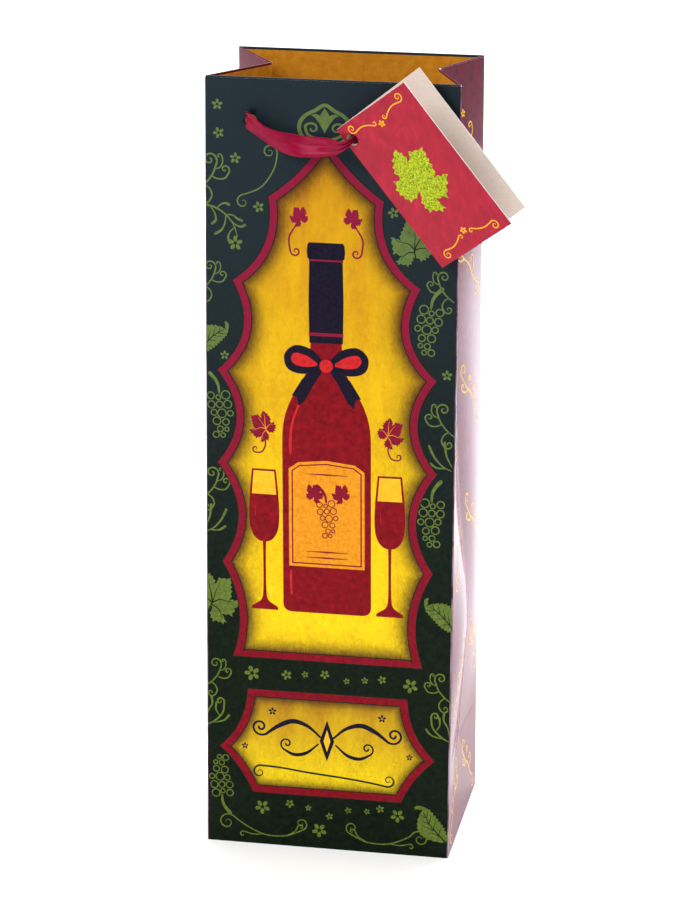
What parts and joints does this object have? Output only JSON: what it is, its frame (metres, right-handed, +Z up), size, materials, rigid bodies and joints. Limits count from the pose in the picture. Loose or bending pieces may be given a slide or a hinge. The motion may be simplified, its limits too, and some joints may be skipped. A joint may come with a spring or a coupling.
{
  "type": "wine gift bag",
  "caption": "Tall gusseted paper gift bag for one wine bottle, with ribbon handles knotted inside and a folded card tag hanging on the front ribbon.",
  "frame": {"origin": "centre of the base, on the surface that the bag stands on", "axes": "+Z up the bag; +X to the right when facing the front wall; +Y from the front wall to the back wall"},
  "size_m": [0.1436, 0.1066, 0.3694],
  "materials": {
    "printed_green_paper": "glossy laminated print, dark green",
    "printed_crimson_paper": "glossy laminated print, crimson",
    "printed_orange_paper": "glossy laminated print, orange gold",
    "white_paper": "uncoated white paper",
    "grey_card": "uncoated grey board",
    "satin_ribbon": "crimson satin ribbon",
    "tag_card": "matt off-white card",
    "tag_print": "printed card, crimson outside"
  },
  "bodies": {
    "bag": {"front_wall": "printed_green_paper", "back_wall": "printed_green_paper", "left_gusset_front": "printed_crimson_paper", "left_gusset_rear": "printed_crimson_paper", "left_gusset_foot": "printed_crimson_paper", "right_gusset_front": "printed_crimson_paper", "right_gusset_rear": "printed_crimson_paper", "right_gusset_foot": "printed_crimson_paper", "seam_lap": "white_paper", "front_hem": "printed_orange_paper", "back_hem": "printed_orange_paper", "left_gusset_hem": "printed_orange_paper", "right_gusset_hem": "printed_orange_paper", "front_top_card": "grey_card", "back_top_card": "grey_card", "base_flap_front": "printed_green_paper", "base_flap_rear": "printed_green_paper", "base_tuck_left": "white_paper", "base_tuck_right": "white_paper", "base_card": "grey_card", "front_ribbon_tails": "satin_ribbon", "front_knots": "satin_ribbon", "back_ribbon_tails": "satin_ribbon", "back_knots": "satin_ribbon"},
    "front_handle": {"front_ribbon_left": "satin_ribbon", "front_ribbon_right": "satin_ribbon"},
    "tag_hanger": {"front_ribbon_bight": "satin_ribbon"},
    "tag": {"tag_back": "tag_card"},
    "tag_cover": {"tag_cover": "tag_print"},
    "back_handle": {"back_ribbon": "satin_ribbon"}
  },
  "joints": [
    {"name": "front_handle_swing", "type": "hinge", "parent": "bag", "child": "front_handle", "pos_m": [0, -0.0368, 0.34201], "axis": [-1, 0, 0], "range_deg": [0, 80]},
    {"name": "tag_level", "type": "hinge", "parent": "front_handle", "child": "tag_hanger", "pos_m": [0.01, -0.0422, 0.3365], "axis": [-1, 0, 0], "range_deg": [-80, 0]},
    {"name": "tag_swing", "type": "hinge", "parent": "tag_hanger", "child": "tag", "pos_m": [0.01, -0.0422, 0.3365], "axis": [0, 1, 0], "range_deg": [-12, 72]},
    {"name": "tag_cover_fold", "type": "hinge", "parent": "tag", "child": "tag_cover", "pos_m": [0.0033, -0.04235, 0.34075], "axis": [0.6225, 0, -0.7826], "range_deg": [-24.5, 28]},
    {"name": "back_handle_swing", "type": "hinge", "parent": "bag", "child": "back_handle", "pos_m": [0, 0.0368, 0.34201], "axis": [1, 0, 0], "range_deg": [0, 150]}
  ],
  "couplings": [
    {"joint": "tag_level", "follows": "front_handle_swing", "ratio": -1}
  ]
}
